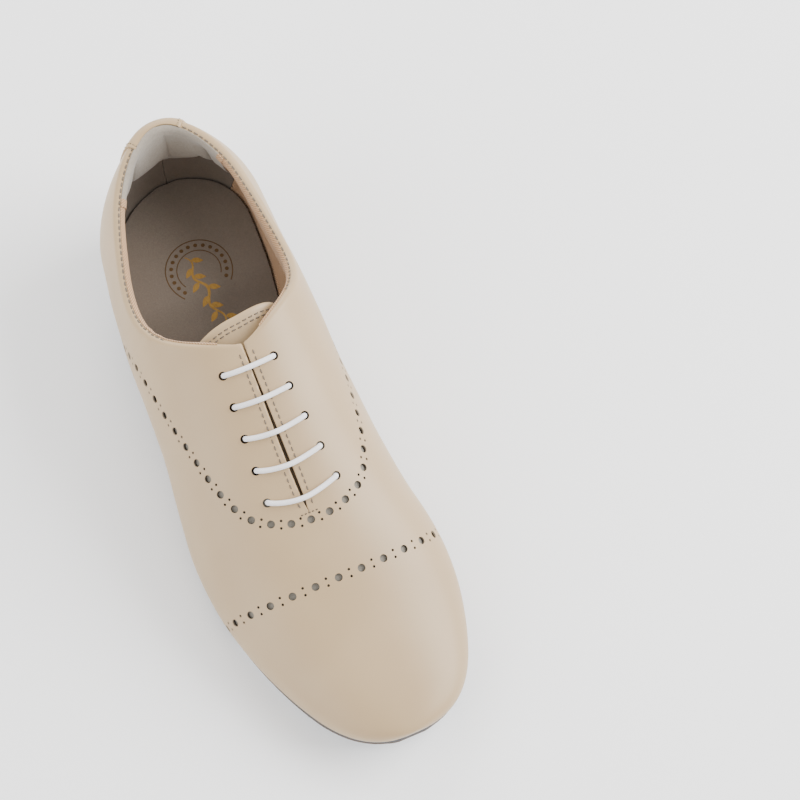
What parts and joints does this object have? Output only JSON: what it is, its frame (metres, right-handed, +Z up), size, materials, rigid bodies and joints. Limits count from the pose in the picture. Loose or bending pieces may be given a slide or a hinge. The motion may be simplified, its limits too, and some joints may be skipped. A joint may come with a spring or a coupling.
{
  "type": "tap shoe",
  "caption": "Low laced tap shoe for the right foot, leather upper with padded collar, tongue, stacked heel, and metal taps under toe and heel.",
  "frame": {"origin": "middle of the rest face of the heel tap, on the floor", "axes": "+Z up, toe towards -Y, inner (medial) side of the right foot towards +X"},
  "size_m": [0.1056, 0.2911, 0.0937],
  "materials": {
    "ivory_calf": "smooth satin calf",
    "grey_suede": "napped",
    "tan_twill": "herringbone twill",
    "taupe_microfibre": "suede-like microfibre",
    "grey_backing": "matt felt",
    "foam": "open-cell foam",
    "stiffener": "impregnated felt board",
    "insole_board": "pressed cellulose board",
    "cork": "granulated cork",
    "sole_leather": "dyed and waxed edge",
    "stacked_heel": "dyed leather lifts",
    "heel_rubber": "matt",
    "fibre_board": "hard fibreboard",
    "tap_aluminium": "tumbled cast plate",
    "steel": "plated",
    "white_elastic": "braided elastic cord"
  },
  "bodies": {
    "root": {"upper": "ivory_calf", "heel_strap": "ivory_calf", "collar_padding": "foam", "heel_counter": "stiffener", "toe_puff": "stiffener", "vamp_backing": "grey_backing", "heel_grip": "grey_suede", "vamp_lining": "tan_twill", "quarter_lining_lateral": "tan_twill", "quarter_lining_medial": "tan_twill", "facing_stay_lateral": "grey_backing", "facing_stay_medial": "grey_backing", "lace": "white_elastic", "insole_board": "insole_board", "heel_cushion": "foam", "insock": "taupe_microfibre", "shank": "steel", "bottom_filler": "cork", "outsole": "sole_leather", "toe_tap_board": "fibre_board", "toe_tap": "tap_aluminium", "heel_block": "stacked_heel", "heel_top_piece": "heel_rubber", "heel_tap": "tap_aluminium", "heel_tap_screw_1": "steel", "heel_tap_screw_2": "steel", "heel_tap_screw_3": "steel", "toe_tap_screw_1": "steel", "toe_tap_screw_2": "steel", "toe_tap_screw_3": "steel", "eyelet_lateral_1": "steel", "eyelet_lateral_2": "steel", "eyelet_lateral_3": "steel", "eyelet_lateral_4": "steel", "eyelet_lateral_5": "steel", "eyelet_medial_1": "steel", "eyelet_medial_2": "steel", "eyelet_medial_3": "steel", "eyelet_medial_4": "steel", "eyelet_medial_5": "steel"},
    "tongue_flap": {"tongue": "ivory_calf", "tongue_padding": "foam", "tongue_lining": "tan_twill"}
  },
  "joints": [
    {"name": "tongue_hinge", "type": "hinge", "parent": "root", "child": "tongue_flap", "pos_m": [0, -0.1515, 0.0545], "axis": [1, 0, 0], "range_deg": [-15, 0]}
  ]
}
